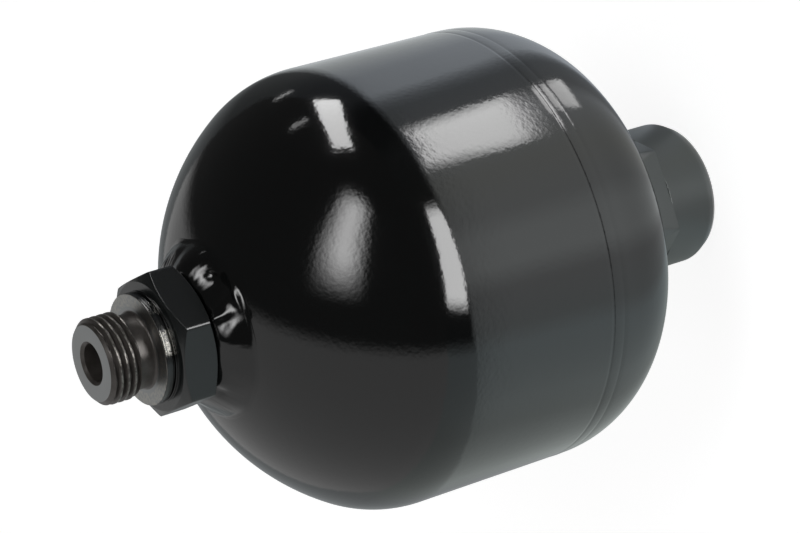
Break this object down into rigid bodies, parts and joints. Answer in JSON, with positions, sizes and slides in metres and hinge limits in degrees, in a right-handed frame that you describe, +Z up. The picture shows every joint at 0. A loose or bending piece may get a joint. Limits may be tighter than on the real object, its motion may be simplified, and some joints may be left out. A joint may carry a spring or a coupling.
{
  "type": "welded hydraulic accumulator",
  "caption": "Small welded steel accumulator with domed ends, a threaded fluid stud with hexagon, and a round gas boss that it stands on.",
  "frame": {"origin": "centre of the gas boss's end face, on the vessel's axis", "axes": "+Z up along the vessel's axis, from the gas boss to the fluid stud; +X through a corner of the stud's hexagon"},
  "size_m": [0.1098, 0.1098, 0.1724],
  "materials": {
    "shell_enamel": "glossy black enamel on drawn steel, slight orange peel",
    "weld_enamel": "glossy black enamel over a hand-laid weld bead",
    "port_steel": "black enamel on hexagon and collar, dark oiled steel on the thread",
    "boss_enamel": "satin black enamel on turned steel",
    "screw_steel": "phosphated turned steel",
    "ring_steel": "plain turned steel",
    "seal_rubber": "matte nitrile rubber",
    "bladder_rubber": "matte moulded nitrile rubber",
    "button_plastic": "natural acetal"
  },
  "bodies": {
    "root": {"fluid_shell": "shell_enamel", "gas_shell": "shell_enamel", "seam_weld": "shell_enamel", "fluid_port": "port_steel", "port_weld": "weld_enamel", "gas_boss": "boss_enamel", "boss_weld": "weld_enamel", "charging_screw": "screw_steel", "charging_oring": "seal_rubber", "bladder": "bladder_rubber", "clamp_ring": "ring_steel", "bladder_button": "button_plastic"}
  },
  "joints": []
}
